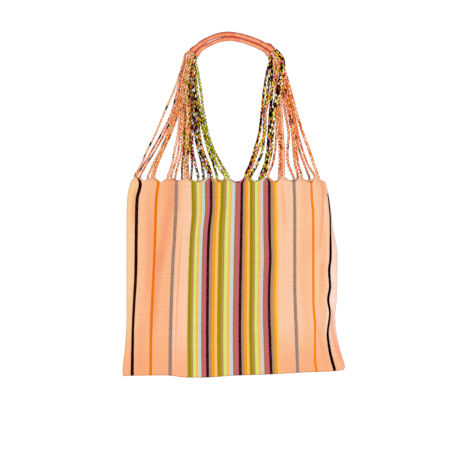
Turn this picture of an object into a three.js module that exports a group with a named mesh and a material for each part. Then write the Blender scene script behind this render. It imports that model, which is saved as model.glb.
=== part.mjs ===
// A hammock bag lying on its back: a striped cloth pouch, braided cords and two wrapped handles.
// Millimetres. +X runs across the bag, +Y towards the handles and +Z up from the floor at z = 0.
import * as THREE from 'three';
import { mergeGeometries, mergeVertices } from 'three/addons/utils/BufferGeometryUtils.js';

// ---- driving dimensions -------------------------------------------------------------------------
const CLOTH = 1.6; // thickness of the woven cloth
const SEAM_HEIGHT = 4.4; // height over the sewn sides and over the fold at the bottom
const SEAM_WIDTH = 2.5; // how far in from an edge the two layers reach that height
const PUFF = 13; // height of the front layer at the middle of the pouch
const RIM_SCALE = 0.85; // share of the puff that is left at the mouth
const RIM_LEVEL = 44; // Y of the mouth between its tips, on average
const SIDE_RIM = { left: 48, right: 46 }; // Y of the mouth at the two sewn sides
const GAP = 0.35; // clearance where a cord meets the cloth or a handle

const CORD_DIAMETER = 3; // a round cord with the section area of the flat braid
const CORD_SIDES = 8;
const CORD_STEPS = 9;
const ROW_PITCH = 3.3; // height from one layer of cords to the next
const FLOOR_CLEARANCE = 0.2;

const HANDLE_SIDES = 10;
const HANDLE_STEPS = 22;
const SWELL_LENGTH = 16; // length of a handle's thicker end

// The pouch's outline where it bends, from the fold at the bottom to the mouth: Y and the X of both
// sides.
const OUTLINE = [
  { y: -326, left: -211.5, right: 209 },
  { y: -310, left: -212, right: 211.5 },
  { y: -285, left: -209, right: 205 },
  { y: -250, left: -206, right: 197 },
  { y: -215, left: -204.5, right: 193 },
  { y: -170, left: -204.5, right: 196.5 },
  { y: -95, left: -204.5, right: 197.5 },
  { y: -45, left: -204.5, right: 189 },
  { y: 5, left: -204, right: 183 },
  { y: 30, left: -200.5, right: 178 },
  { y: 48, left: -195, right: 173.5 },
];

// The fold at the bottom: Y at each X.
const BOTTOM = [
  { x: -212, y: -325.5 },
  { x: -185, y: -325 },
  { x: -130, y: -324.5 },
  { x: -88, y: -328.5 },
  { x: -60, y: -328.5 },
  { x: 0, y: -325 },
  { x: 70, y: -322.5 },
  { x: 130, y: -319 },
  { x: 195, y: -316 },
  { x: 212, y: -313 },
];

// The scalloped mouth: each gathered tip's middle, half width and Y, and the Y of the dip after it.
const FRONT_RIM = [
  { x: -185.5, half: 4, tip: 52.5, dip: 47.5 },
  { x: -153.5, half: 4, tip: 50.5, dip: 43 },
  { x: -122.2, half: 4.7, tip: 50.5, dip: 46 },
  { x: -89.5, half: 4.5, tip: 49.5, dip: 43 },
  { x: -45, half: 4.5, tip: 52, dip: 42.5 },
  { x: -13.7, half: 5.3, tip: 49.5, dip: 42 },
  { x: 24, half: 4.5, tip: 52, dip: 44 },
  { x: 62, half: 5, tip: 52, dip: 43.5 },
  { x: 92.5, half: 4.2, tip: 51, dip: 45 },
  { x: 125.2, half: 5.3, tip: 50.5, dip: 42 },
  { x: 156.5, half: 5.5, tip: 50.5, dip: 50 },
];
const BACK_RIM = [
  { x: -179, half: 3, tip: 48.5, dip: 45 },
  { x: -164, half: 3, tip: 48, dip: 41 },
  { x: -105.2, half: 9.5, tip: 47.5, dip: 41 },
  { x: -81.5, half: 3, tip: 47.5, dip: 41 },
  { x: -62.7, half: 7.5, tip: 47.5, dip: 41 },
  { x: -32, half: 3, tip: 48, dip: 45.5 },
  { x: 31, half: 3, tip: 48, dip: 46 },
  { x: 52.2, half: 5.5, tip: 48, dip: 42 },
  { x: 85.5, half: 3, tip: 48, dip: 45 },
  { x: 114, half: 3, tip: 48, dip: 42 },
  { x: 143.5, half: 3, tip: 48, dip: 46 },
];

// Soft folds in the front layer: a line at X from one Y to another, its half width and its height.
const FOLDS = [
  { x: -150, from: -240, to: -30, half: 26, height: -2.2 },
  { x: -96, from: -300, to: -120, half: 22, height: 0.8 },
  { x: 172, from: -270, to: -120, half: 12, height: -1.6 },
  { x: 60, from: -200, to: 10, half: 24, height: -0.9 },
];

// The handles' routes, seen from above, from the left end to the right end. `swell` is how much
// thicker a handle's ends are than its middle.
const HANDLES = {
  outer: {
    diameter: 9.2,
    swell: 1.28,
    route: [
      [-81.2, 291.5], [-75.5, 296.8], [-70.5, 300.7], [-62, 307.6], [-43.4, 318], [-25.7, 323.5],
      [-7.4, 324.9], [10.5, 322.3], [29.3, 316.9], [47.8, 310], [57.5, 305], [65, 300.8],
      [70.7, 297], [76.3, 292.5],
    ],
  },
  inner: {
    diameter: 8,
    swell: 1.38,
    route: [
      [-72.9, 283.2], [-68, 289.2], [-62.6, 295.6], [-46.9, 304.8], [-27.5, 313], [-7.4, 315.7],
      [12.3, 312.7], [32, 306.4], [51.8, 297.8], [60.7, 291.8], [68, 284],
    ],
  },
};

// ---- cord routes --------------------------------------------------------------------------------
// Every cord leaves a tip of the mouth, lies fanned out on the floor and climbs into the bundle at
// a handle's end. `across` is its X at each of these Y stations.
const STATIONS = [78, 104, 135, 175, 215, 250];
const STACKED = [0, 0, 0.03, 0.65, 0.94, 1]; // how far a cord has climbed to its row by then
const SETTLED = [0.58, 0.93, 1, 1, 1, 1]; // how far it has come down from the rim by then
const STRAIGHT_START = 4; // length straight out of the cloth
const STRAIGHT_END = 4; // length straight into the handle

// foot: X at the mouth; lay: the layer on the floor where two cords cross; via: places on the way
// round to the handle; end: handle and side; column and row: the place in the bundle at that end.
const CORDS = [
  { name: 'front_01', foot: -187.6, across: [-176, -165, -149.5, -132.5, -115, -102],
    lay: 0, via: [[-94.2, 279], [-92.6, 286.3]], end: ['outer', 'left'], column: 0, row: 2 },
  { name: 'front_02', foot: -183.6, across: [-171, -156, -138.5, -119, -108.5, -99],
    lay: 0, via: [[-93.7, 278.5], [-92.2, 286]], end: ['outer', 'left'], column: 0, row: 1 },
  { name: 'back_01', foot: -179, across: [-166, -150, -133, -115, -104.5, -96.5],
    lay: 0, via: [[-93.2, 278], [-91.8, 285.7]], end: ['outer', 'left'], column: 0, row: 0 },
  { name: 'back_02', foot: -164, across: [-153.5, -140, -127.5, -111, -101, -93.3],
    lay: 0, end: ['outer', 'left'], column: 1, row: 0 },
  { name: 'front_03', foot: -155.5, across: [-148.5, -136.5, -123.5, -109.5, -101.5, -95.5],
    lay: 1, end: ['outer', 'left'], column: 1, row: 2 },
  { name: 'front_04', foot: -151.5, across: [-145, -134.5, -120.5, -106.5, -98.5, -93],
    lay: 0, end: ['outer', 'left'], column: 1, row: 1 },
  { name: 'front_05', foot: -125, across: [-117.5, -113, -106.5, -103, -96, -91],
    lay: 0, end: ['outer', 'left'], column: 2, row: 2 },
  { name: 'front_06', foot: -119.5, across: [-112, -105.5, -102.5, -99.5, -93, -89.5],
    lay: 0, end: ['outer', 'left'], column: 2, row: 1 },
  { name: 'back_03', foot: -112, across: [-106, -99.5, -98, -96, -91, -89.5],
    lay: 0, end: ['outer', 'left'], column: 2, row: 0 },
  { name: 'back_04', foot: -98.5, across: [-98.5, -95, -94, -92, -89, -85.5],
    lay: 0, end: ['inner', 'left'], column: 0, row: 1 },
  { name: 'front_07', foot: -92, across: [-93, -91, -90.5, -88, -90.5, -86.5],
    lay: 0, end: ['inner', 'left'], column: 0, row: 3 },
  { name: 'front_08', foot: -87, across: [-88.5, -87, -87, -84.5, -87.5, -84.5],
    lay: 0, end: ['inner', 'left'], column: 0, row: 2 },
  { name: 'back_05', foot: -81.5, across: [-79.5, -82.5, -83.5, -81.5, -86, -84],
    lay: 0, end: ['inner', 'left'], column: 0, row: 0 },
  { name: 'back_06', foot: -67.5, across: [-73.5, -78.5, -79.5, -78, -82, -80],
    lay: 0, end: ['inner', 'left'], column: 1, row: 0 },
  { name: 'back_07', foot: -58, across: [-60.5, -67.5, -73.5, -75, -80.5, -79],
    lay: 0, end: ['inner', 'left'], column: 1, row: 1 },
  { name: 'front_09', foot: -47.5, across: [-55.5, -63.5, -69.5, -71.5, -77.5, -77.5],
    lay: 0, end: ['inner', 'left'], column: 1, row: 2 },
  { name: 'front_10', foot: -42.5, across: [-49.3, -59.3, -65.8, -68, -74.5, -75.5],
    lay: 0, end: ['inner', 'left'], column: 1, row: 3 },
  { name: 'back_08', foot: -32, across: [-39, -48.5, -57, -65.5, -71.5, -74.5],
    lay: 0, end: ['inner', 'left'], column: 2, row: 0 },
  { name: 'front_11', foot: -16.5, across: [-33, -42.5, -53, -62.5, -70, -73],
    lay: 0, end: ['inner', 'left'], column: 2, row: 1 },
  { name: 'front_12', foot: -10.8, across: [-24.5, -38, -49, -57, -62.5, -68],
    lay: 0, end: ['inner', 'left'], column: 2, row: 2 },
  { name: 'front_13', foot: 21.7, across: [31, 39, 48, 53, 57, 62.5],
    lay: 0, end: ['inner', 'right'], column: 0, row: 1 },
  { name: 'front_14', foot: 26.3, across: [36, 45, 58.5, 60, 69.5, 80],
    lay: 1, via: [[87, 274]], end: ['outer', 'right'], column: 0, row: 3 },
  { name: 'back_09', foot: 31, across: [44.5, 54.5, 57, 58.5, 63.8, 68.4],
    lay: 0, end: ['inner', 'right'], column: 0, row: 0 },
  { name: 'back_10', foot: 49.5, across: [59.5, 64, 66.5, 69, 72.5, 72.5],
    lay: 0, end: ['inner', 'right'], column: 1, row: 0 },
  { name: 'back_11', foot: 55, across: [63.5, 67.5, 70, 73, 82.5, 89],
    lay: 0, via: [[90.5, 272]], end: ['outer', 'right'], column: 1, row: 3 },
  { name: 'front_15', foot: 59, across: [65.5, 71.5, 74, 76.5, 88, 93.3],
    lay: 0, via: [[95.3, 265], [92.5, 279]], end: ['outer', 'right'], column: 2, row: 3 },
  { name: 'front_16', foot: 65, across: [73.5, 78.5, 81, 80.8, 79.5, 77.5],
    lay: 0, end: ['inner', 'right'], column: 2, row: 1 },
  { name: 'back_12', foot: 85.5, across: [87, 87, 85, 84.2, 82, 80],
    lay: 0, end: ['outer', 'right'], column: 0, row: 0 },
  { name: 'front_17', foot: 90.5, across: [91, 91, 89, 87, 84.5, 82.5],
    lay: 0, end: ['outer', 'right'], column: 0, row: 1 },
  { name: 'front_18', foot: 94.5, across: [94.8, 94.8, 92.8, 90.5, 87.5, 84.5],
    lay: 0, end: ['outer', 'right'], column: 0, row: 2 },
  { name: 'back_13', foot: 114, across: [103.5, 102, 104.5, 98, 92.5, 87],
    lay: 0, end: ['outer', 'right'], column: 1, row: 0 },
  { name: 'front_19', foot: 122, across: [116.5, 114, 111.5, 104, 97, 89.5],
    lay: 0, end: ['outer', 'right'], column: 1, row: 1 },
  { name: 'front_20', foot: 128.5, across: [122.5, 119, 115, 107.5, 100.5, 92],
    lay: 0, end: ['outer', 'right'], column: 1, row: 2 },
  { name: 'back_14', foot: 143.5, across: [134, 125, 118.5, 110.5, 103, 94],
    lay: 0, end: ['outer', 'right'], column: 2, row: 0 },
  { name: 'front_21', foot: 153.5, across: [140.5, 131, 122.5, 114, 105.5, 96],
    lay: 0, end: ['outer', 'right'], column: 2, row: 1 },
  { name: 'front_22', foot: 159.8, across: [152, 143.5, 132, 119, 108, 97.5],
    lay: 0, end: ['outer', 'right'], column: 2, row: 2 },
];

// ---- small helpers ------------------------------------------------------------------------------
const mix = (a, b, share) => a + (b - a) * share;
const clamp = (value) => Math.min(1, Math.max(0, value));
const smooth = (value) => clamp(value) ** 2 * (3 - 2 * clamp(value));

// The value of one column of a table at a place between two of its rows.
function between(table, key, column, place) {
  const after = table.findIndex((row) => row[key] > place);
  if (after === 0) return table[0][column];
  if (after < 0) return table[table.length - 1][column];
  const [low, high] = [table[after - 1], table[after]];
  return mix(low[column], high[column], (place - low[key]) / (high[key] - low[key]));
}

function material(color, roughness = 0.9) {
  return new THREE.MeshStandardMaterial({ color, roughness, metalness: 0 });
}

function piece(name, geometry, finish) {
  const mesh = new THREE.Mesh(geometry, finish);
  mesh.name = name;
  return mesh;
}

// ---- the pouch ----------------------------------------------------------------------------------
const MOUTH = OUTLINE[OUTLINE.length - 1];
const LEVELS = [0, 0.007, 0.05, 0.15, 0.3, 0.46, 0.62, 0.78, 0.9, 0.965, 1];
const SCALLOP_START = 0.9; // the level above which the mouth's scallops form

// Height of the front layer's upper face above the floor.
function frontHeight(x, y) {
  const left = between(OUTLINE, 'y', 'left', y);
  const right = between(OUTLINE, 'y', 'right', y);
  const bottom = between(BOTTOM, 'x', 'y', x);
  const side = Math.abs((2 * (x - left)) / (right - left) - 1);
  const rise = clamp((y - bottom) / (RIM_LEVEL - bottom));
  const across = 1 - clamp(side) ** 2.8;
  const along = (1 - (1 - rise) ** 7) * mix(1, RIM_SCALE, rise ** 6);
  let height = SEAM_HEIGHT + (PUFF - SEAM_HEIGHT) * across * along;
  for (const fold of FOLDS) {
    const sideways = smooth(1 - Math.abs(x - fold.x) / fold.half);
    const middle = (fold.from + fold.to) / 2;
    const lengthways = smooth(2 * (1 - Math.abs(y - middle) / ((fold.to - fold.from) / 2)));
    height += fold.height * sideways * lengthways * across;
  }
  return height;
}

// The mouth's columns: both edges, and the two corners of each tip with a dip between tips.
function rimColumns(rim) {
  const columns = [
    { x: MOUTH.left, y: SIDE_RIM.left },
    { x: MOUTH.left + SEAM_WIDTH, y: (SIDE_RIM.left + rim[0].tip) / 2 },
  ];
  rim.forEach((tip, index) => {
    columns.push({ x: tip.x - tip.half, y: tip.tip }, { x: tip.x + tip.half, y: tip.tip });
    const next = rim[index + 1];
    if (!next) return;
    const dipAt = (tip.x + tip.half + next.x - next.half) / 2;
    columns.push({ x: dipAt, y: tip.dip });
  });
  const lastTip = rim[rim.length - 1].tip;
  columns.push(
    { x: MOUTH.right - SEAM_WIDTH / 2, y: (SIDE_RIM.right + lastTip) / 2 },
    { x: MOUTH.right, y: SIDE_RIM.right },
  );
  return columns;
}

// A point on one face of a layer. `inset` is 0 on the outer faces and the cloth's thickness inside.
// The first and last columns and the lowest level are shared by the front and the back layer.
function layerPoint(rim, column, level, inset, front) {
  const columns = rimColumns(rim);
  const last = columns.length - 1;
  const share = (columns[column].x - MOUTH.left) / (MOUTH.right - MOUTH.left);
  const even = column / last;
  const along = mix(even, share, smooth(level));
  const scallop = smooth((level - SCALLOP_START) / (1 - SCALLOP_START));
  const fold = between(BOTTOM, 'x', 'y', mix(BOTTOM[0].x, BOTTOM[BOTTOM.length - 1].x, along));
  const y = mix(fold, RIM_LEVEL, level) + (columns[column].y - RIM_LEVEL) * scallop;
  const left = between(OUTLINE, 'y', 'left', y) + inset;
  const right = between(OUTLINE, 'y', 'right', y) - inset;
  const nearEdge = { 0: left, 1: left + SEAM_WIDTH, [last - 1]: right - SEAM_WIDTH, [last]: right };
  const x = column in nearEdge && level < 1 ? nearEdge[column] : mix(left, right, along);
  const above = y + inset * (1 - level);
  if (column === 0 || column === last || level === 0) return [x, above, SEAM_HEIGHT / 2];
  return [x, above, front ? frontHeight(x, y) - inset : inset];
}

// A grid of one face, bent from a flat plane.
function face(rim, inset, front, turned) {
  const columns = rimColumns(rim).length - 1;
  const levels = LEVELS.length - 1;
  const geometry = new THREE.PlaneGeometry(1, 1, columns, levels);
  const place = geometry.attributes.position;
  for (let i = 0; i < place.count; i += 1) {
    const column = Math.round((place.getX(i) + 0.5) * columns);
    const level = LEVELS[Math.round((place.getY(i) + 0.5) * levels)];
    place.setXYZ(i, ...layerPoint(rim, column, level, inset, front));
  }
  if (turned) turnRound(geometry);
  return geometry;
}

// The cut edge of the cloth between a layer's outer and inner faces, along the mouth.
function lip(rim, front) {
  const columns = rimColumns(rim).length - 1;
  const geometry = new THREE.PlaneGeometry(1, 1, columns, 1);
  const place = geometry.attributes.position;
  for (let i = 0; i < place.count; i += 1) {
    const column = Math.round((place.getX(i) + 0.5) * columns);
    const inset = place.getY(i) > 0 ? CLOTH : 0;
    place.setXYZ(i, ...layerPoint(rim, column, 1, inset, front));
  }
  if (!front) turnRound(geometry);
  return geometry;
}

function turnRound(geometry) {
  const index = geometry.index.array;
  for (let i = 0; i < index.length; i += 3) {
    [index[i + 1], index[i + 2]] = [index[i + 2], index[i + 1]];
  }
}

function pouch() {
  const faces = [
    face(FRONT_RIM, 0, true, false),
    face(BACK_RIM, 0, false, true),
    face(FRONT_RIM, CLOTH, true, true),
    face(BACK_RIM, CLOTH, false, false),
    lip(FRONT_RIM, true),
    lip(BACK_RIM, false),
  ];
  for (const geometry of faces) {
    geometry.deleteAttribute('normal');
    geometry.deleteAttribute('uv');
  }
  const shell = mergeVertices(mergeGeometries(faces), 1e-3);
  return piece('pouch', shell, material(0xfbbe92));
}

// ---- tubes --------------------------------------------------------------------------------------
function tube(curve, diameter, sides, steps) {
  const corners = [];
  for (let i = 0; i < sides; i += 1) {
    const angle = (2 * Math.PI * (i + 0.5)) / sides;
    corners.push(new THREE.Vector2(Math.cos(angle), Math.sin(angle)).multiplyScalar(diameter / 2));
  }
  const section = new THREE.Shape(corners);
  return new THREE.ExtrudeGeometry(section, { steps, bevelEnabled: false, extrudePath: curve });
}

// How much thicker than its middle a handle is at a share of its length.
function swellAt(handle, share, length) {
  const fromEnd = Math.min(share, 1 - share) * length;
  return mix(handle.swell, 1, smooth(fromEnd / SWELL_LENGTH));
}

// The height of a handle's middle line above the flat that it rests on.
const restHeight = ({ diameter }) => (diameter / 2) * Math.cos(Math.PI / HANDLE_SIDES);

function handleCurve(handle) {
  const rest = restHeight(handle);
  const points = handle.route.map(([x, y]) => new THREE.Vector3(x, y, rest));
  return new THREE.CatmullRomCurve3(points, false, 'centripetal');
}

function handlePiece(name) {
  const handle = HANDLES[name];
  const curve = handleCurve(handle);
  const geometry = tube(curve, handle.diameter, HANDLE_SIDES, HANDLE_STEPS);
  const centres = curve.getSpacedPoints(HANDLE_STEPS);
  const length = curve.getLength();
  const place = geometry.attributes.position;
  const corner = new THREE.Vector3();
  for (let i = 0; i < place.count; i += 1) {
    corner.fromBufferAttribute(place, i);
    const distances = centres.map((centre) => centre.distanceTo(corner));
    const nearest = distances.indexOf(Math.min(...distances));
    const swell = swellAt(handle, nearest / HANDLE_STEPS, length);
    corner.sub(centres[nearest]).multiplyScalar(swell).add(centres[nearest]);
    place.setXYZ(i, corner.x, corner.y, corner.z + restHeight(handle) * (swell - 1));
  }
  return piece(`handle_${name}`, geometry, material(0xf08c69, 0.85));
}

// ---- cords --------------------------------------------------------------------------------------
const layerHeight = (layer) => CORD_DIAMETER / 2 + FLOOR_CLEARANCE + layer * ROW_PITCH;

// The middle of the cloth's edge at a cord's foot.
function footPoint(cord) {
  const front = cord.name.startsWith('front');
  const rim = front ? FRONT_RIM : BACK_RIM;
  const tip = rim.find(({ x, half }) => Math.abs(cord.foot - x) <= half);
  const height = front ? frontHeight(cord.foot, tip.tip) - CLOTH / 2 : layerHeight(0);
  return new THREE.Vector3(cord.foot, tip.tip + GAP, height);
}

// The cord's place in front of a handle's end face; columns count from the side nearer its cords.
function seatPoint({ end: [name, side], column, row }, distance) {
  const curve = handleCurve(HANDLES[name]);
  const right = side === 'right';
  const out = curve.getTangentAt(right ? 1 : 0).multiplyScalar(right ? 1 : -1);
  const across = new THREE.Vector3(-out.y, out.x, 0).multiplyScalar((column - 1) * ROW_PITCH);
  const seat = curve.getPointAt(right ? 1 : 0).addScaledVector(out, distance).add(across);
  return seat.setZ(layerHeight(row));
}

function route(cord) {
  const foot = footPoint(cord);
  const floor = layerHeight(cord.lay);
  const points = [foot, foot.clone().setY(foot.y + STRAIGHT_START)];
  STATIONS.forEach((y, i) => {
    const low = mix(foot.z, floor, SETTLED[i]);
    points.push(new THREE.Vector3(cord.across[i], y, mix(low, layerHeight(cord.row), STACKED[i])));
  });
  for (const place of cord.via ?? []) {
    points.push(new THREE.Vector3(...place, layerHeight(cord.row)));
  }
  points.push(seatPoint(cord, STRAIGHT_END + GAP), seatPoint(cord, GAP));
  return new THREE.CatmullRomCurve3(points, false, 'centripetal');
}

function cordPiece(cord) {
  const geometry = tube(route(cord), CORD_DIAMETER, CORD_SIDES, CORD_STEPS);
  return piece(`cord_${cord.name}`, geometry, material(0xe8a070));
}

// ---- the bag ------------------------------------------------------------------------------------
const bag = new THREE.Group();
bag.add(pouch(), handlePiece('outer'), handlePiece('inner'), ...CORDS.map(cordPiece));
export default bag;
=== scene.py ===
"""A hammock bag lying on its back: a striped cloth pouch, braided cords and two wrapped handles.

Lengths in the tables are millimetres and every mesh is in metres. +X runs across the bag, +Y
towards the handles and +Z up from the floor.
"""

import math
import random
from functools import partialmethod

import bmesh
import bpy
import numpy as np
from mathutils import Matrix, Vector


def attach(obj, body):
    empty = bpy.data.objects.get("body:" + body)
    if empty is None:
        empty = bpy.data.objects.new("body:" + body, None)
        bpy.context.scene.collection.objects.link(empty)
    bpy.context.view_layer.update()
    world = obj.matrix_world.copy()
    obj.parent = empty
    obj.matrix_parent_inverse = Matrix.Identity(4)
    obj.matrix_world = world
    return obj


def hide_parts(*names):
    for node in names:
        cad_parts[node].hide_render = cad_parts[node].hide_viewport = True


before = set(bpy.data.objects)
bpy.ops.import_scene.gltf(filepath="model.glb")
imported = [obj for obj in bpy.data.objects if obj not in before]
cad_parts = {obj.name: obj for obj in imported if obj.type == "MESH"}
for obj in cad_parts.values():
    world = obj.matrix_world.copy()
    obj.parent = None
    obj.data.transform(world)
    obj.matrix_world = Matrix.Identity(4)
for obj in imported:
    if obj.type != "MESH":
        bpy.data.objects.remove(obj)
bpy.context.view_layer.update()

MM = 0.001

# ---- the bag's measures, as the CAD part has them ------------------------------------------------
SEAM_HEIGHT = 4.4
PUFF = 13
SIDE_POWER, FOLD_POWER, RIM_POWER = 2.8, 7, 6  # how late the pouch gets thinner at its edges
RIM_SCALE = 0.85
RIM_LEVEL = 44
GAP = 0.35
CORD_DIAMETER = 3
ROW_PITCH = 3.3
FLOOR_CLEARANCE = 0.2
HANDLE_SIDES = 10
SWELL_LENGTH = 16
CLOTH = 1.6

# Each gathered tip of the mouth: X, half width, Y of the tip.
FRONT_TIPS = [
    (-185.5, 4, 52.5), (-153.5, 4, 50.5), (-122.2, 4.7, 50.5), (-89.5, 4.5, 49.5),
    (-45, 4.5, 52), (-13.7, 5.3, 49.5), (24, 4.5, 52), (62, 5, 52),
    (92.5, 4.2, 51), (125.2, 5.3, 50.5), (156.5, 5.5, 50.5),
]
BACK_TIPS = [
    (-179, 3, 48.5), (-164, 3, 48), (-105.2, 9.5, 47.5), (-81.5, 3, 47.5),
    (-62.7, 7.5, 47.5), (-32, 3, 48), (31, 3, 48), (52.2, 5.5, 48),
    (85.5, 3, 48), (114, 3, 48), (143.5, 3, 48),
]

# Each handle: its diameter, how much thicker its ends are and its route.
HANDLES = {
    "outer": (9.2, 1.28, [
        (-81.2, 291.5), (-75.5, 296.8), (-70.5, 300.7), (-62, 307.6), (-43.4, 318), (-25.7, 323.5),
        (-7.4, 324.9), (10.5, 322.3), (29.3, 316.9), (47.8, 310), (57.5, 305), (65, 300.8),
        (70.7, 297), (76.3, 292.5),
    ]),
    "inner": (8, 1.38, [
        (-72.9, 283.2), (-68, 289.2), (-62.6, 295.6), (-46.9, 304.8), (-27.5, 313), (-7.4, 315.7),
        (12.3, 312.7), (32, 306.4), (51.8, 297.8), (60.7, 291.8), (68, 284),
    ]),
}

# A cord's X at each of these Y stations, how far it has climbed to its row in the bundle by then,
# and how far it has come down from the rim.
STATIONS = [78, 104, 135, 175, 215, 250]
STACKED = [0, 0, 0.03, 0.65, 0.94, 1]
SETTLED = [0.58, 0.93, 1, 1, 1, 1]
STRAIGHT_START = 4
STRAIGHT_END = 4

# name, X of the foot, X at the stations, layer on the floor, handle and side, column, row and
# colours. Columns count towards +X, rows from the floor.
CORDS = [
    ("front_01", -187.6, (-176, -165, -149.5, -132.5, -115, -102), 0, "outer left", 0, 2, "peach and black"),
    ("front_02", -183.6, (-171, -156, -138.5, -119, -108.5, -99), 0, "outer left", 0, 1, "rose and black"),
    ("back_01", -179, (-166, -150, -133, -115, -104.5, -96.5), 0, "outer left", 0, 0, "rose and black"),
    ("back_02", -164, (-153.5, -140, -127.5, -111, -101, -93.3), 0, "outer left", 1, 0, "peach and grey"),
    ("front_03", -155.5, (-148.5, -136.5, -123.5, -109.5, -101.5, -95.5), 1, "outer left", 1, 2,
     "peach and orange"),
    ("front_04", -151.5, (-145, -134.5, -120.5, -106.5, -98.5, -93), 0, "outer left", 1, 1,
     "peach, orange and brown"),
    ("front_05", -125, (-117.5, -113, -106.5, -103, -96, -91), 0, "outer left", 2, 2, "peach and grey"),
    ("front_06", -119.5, (-112, -105.5, -102.5, -99.5, -93, -89.5), 0, "outer left", 2, 1, "peach"),
    ("back_03", -112, (-106, -99.5, -98, -96, -91, -89.5), 0, "outer left", 2, 0, "peach"),
    ("back_04", -98.5, (-98.5, -95, -94, -92, -89, -85.5), 0, "inner left", 0, 1, "dark olive"),
    ("front_07", -92, (-93, -91, -90.5, -88, -90.5, -86.5), 0, "inner left", 0, 3, "peach and olive"),
    ("front_08", -87, (-88.5, -87, -87, -84.5, -87.5, -84.5), 0, "inner left", 0, 2, "peach and brown"),
    ("back_05", -81.5, (-79.5, -82.5, -83.5, -81.5, -86, -84), 0, "inner left", 0, 0, "dark olive"),
    ("back_06", -67.5, (-73.5, -78.5, -79.5, -78, -82, -80), 0, "inner left", 1, 0, "maroon and pink"),
    ("back_07", -58, (-60.5, -67.5, -73.5, -75, -80.5, -79), 0, "inner left", 1, 1, "maroon and blue"),
    ("front_09", -47.5, (-55.5, -63.5, -69.5, -71.5, -77.5, -77.5), 0, "inner left", 1, 2, "maroon and blue"),
    ("front_10", -42.5, (-49.3, -59.3, -65.8, -68, -74.5, -75.5), 0, "inner left", 1, 3, "maroon and orange"),
    ("back_08", -32, (-39, -48.5, -57, -65.5, -71.5, -74.5), 0, "inner left", 2, 0, "green and brown"),
    ("front_11", -16.5, (-33, -42.5, -53, -62.5, -70, -73), 0, "inner left", 2, 1, "green and blue"),
    ("front_12", -10.8, (-24.5, -38, -49, -57, -62.5, -68), 0, "inner left", 2, 2, "green and gold"),
    ("front_13", 21.7, (31, 39, 48, 53, 57, 62.5), 0, "inner right", 0, 1, "gold and maroon"),
    ("front_14", 26.3, (36, 45, 58.5, 60, 69.5, 80), 1, "outer right", 0, 3, "gold and pink"),
    ("back_09", 31, (44.5, 54.5, 57, 58.5, 63.8, 68.4), 0, "inner right", 0, 0, "black and gold"),
    ("back_10", 49.5, (59.5, 64, 66.5, 69, 72.5, 72.5), 0, "inner right", 1, 0, "black and lime"),
    ("back_11", 55, (63.5, 67.5, 70, 73, 82.5, 89), 0, "outer right", 1, 3, "black and pink"),
    ("front_15", 59, (65.5, 71.5, 74, 76.5, 88, 93.3), 0, "outer right", 2, 3, "black and orange"),
    ("front_16", 65, (73.5, 78.5, 81, 80.8, 79.5, 77.5), 0, "inner right", 2, 1, "peach and rust"),
    ("back_12", 85.5, (87, 87, 85, 84.2, 82, 80), 0, "outer right", 0, 0, "peach and rust"),
    ("front_17", 90.5, (91, 91, 89, 87, 84.5, 82.5), 0, "outer right", 0, 1, "rust"),
    ("front_18", 94.5, (94.8, 94.8, 92.8, 90.5, 87.5, 84.5), 0, "outer right", 0, 2, "pale peach"),
    ("back_13", 114, (103.5, 102, 104.5, 98, 92.5, 87), 0, "outer right", 1, 0, "rust and brown"),
    ("front_19", 122, (116.5, 114, 111.5, 104, 97, 89.5), 0, "outer right", 1, 1, "rust and brown"),
    ("front_20", 128.5, (122.5, 119, 115, 107.5, 100.5, 92), 0, "outer right", 1, 2, "peach and rust"),
    ("back_14", 143.5, (134, 125, 118.5, 110.5, 103, 94), 0, "outer right", 2, 0, "rust and brown"),
    ("front_21", 153.5, (140.5, 131, 122.5, 114, 105.5, 96), 0, "outer right", 2, 1, "rust and orange"),
    ("front_22", 159.8, (152, 143.5, 132, 119, 108, 97.5), 0, "outer right", 2, 2, "orange and peach"),
]
# Places that these pass on the way round to a handle's end.
ROUND_THE_END = {
    "front_01": [(-94.2, 279), (-92.6, 286.3)],
    "front_02": [(-93.7, 278.5), (-92.2, 286)],
    "back_01": [(-93.2, 278), (-91.8, 285.7)],
    "front_14": [(87, 274)],
    "back_11": [(90.5, 272)],
    "front_15": [(95.3, 265), (92.5, 279)],
}


def linked(name, data):
    """A new object in the scene."""
    made = bpy.data.objects.new(name, data)
    bpy.context.scene.collection.objects.link(made)
    return made


# ---- the camera ----------------------------------------------------------------------------------
CAMERA_PLACE = (-0.0074, -0.0475, 2.6)
FRAME_WIDTH = 0.874  # how wide the view is at the level of the bag
BAG_LEVEL = 0.008
SENSOR = 36
camera = linked("camera", bpy.data.cameras.new("camera"))
camera.location = CAMERA_PLACE
camera.data.sensor_width = SENSOR
camera.data.lens = SENSOR * (CAMERA_PLACE[2] - BAG_LEVEL) / FRAME_WIDTH
bpy.context.scene.camera = camera


# ---- curves and meshes ---------------------------------------------------------------------------
def mix(low, high, share):
    return low + (high - low) * share


def ease(share):
    share = np.clip(share, 0, 1)
    return share * share * (3 - 2 * share)


def along_table(table, place):
    """A smooth value at a place, or at an array of them, from (place, value) pairs. It turns only
    at the pairs, so it never swings past their values."""
    at, value = np.array(sorted(table), float).T
    steep = np.diff(value) / np.diff(at)
    before, after = steep[:-1], steep[1:]
    both = before + after
    level = np.where(before * after > 0, 2 * before * after / np.where(both == 0, 1, both), 0)
    slope = np.concatenate([steep[:1], level, steep[-1:]])
    place = np.clip(place, at[0], at[-1])
    low = np.clip(np.searchsorted(at, place) - 1, 0, len(at) - 2)
    span = at[low + 1] - at[low]
    share = (place - at[low]) / span
    rest = 1 - share
    return (
        value[low] * (1 + 2 * share) * rest**2
        + slope[low] * span * share * rest**2
        + value[low + 1] * (3 - 2 * share) * share**2
        - slope[low + 1] * span * rest * share**2
    )


DENSE = 40  # a smooth line is measured in this many steps between each two of its points


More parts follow.
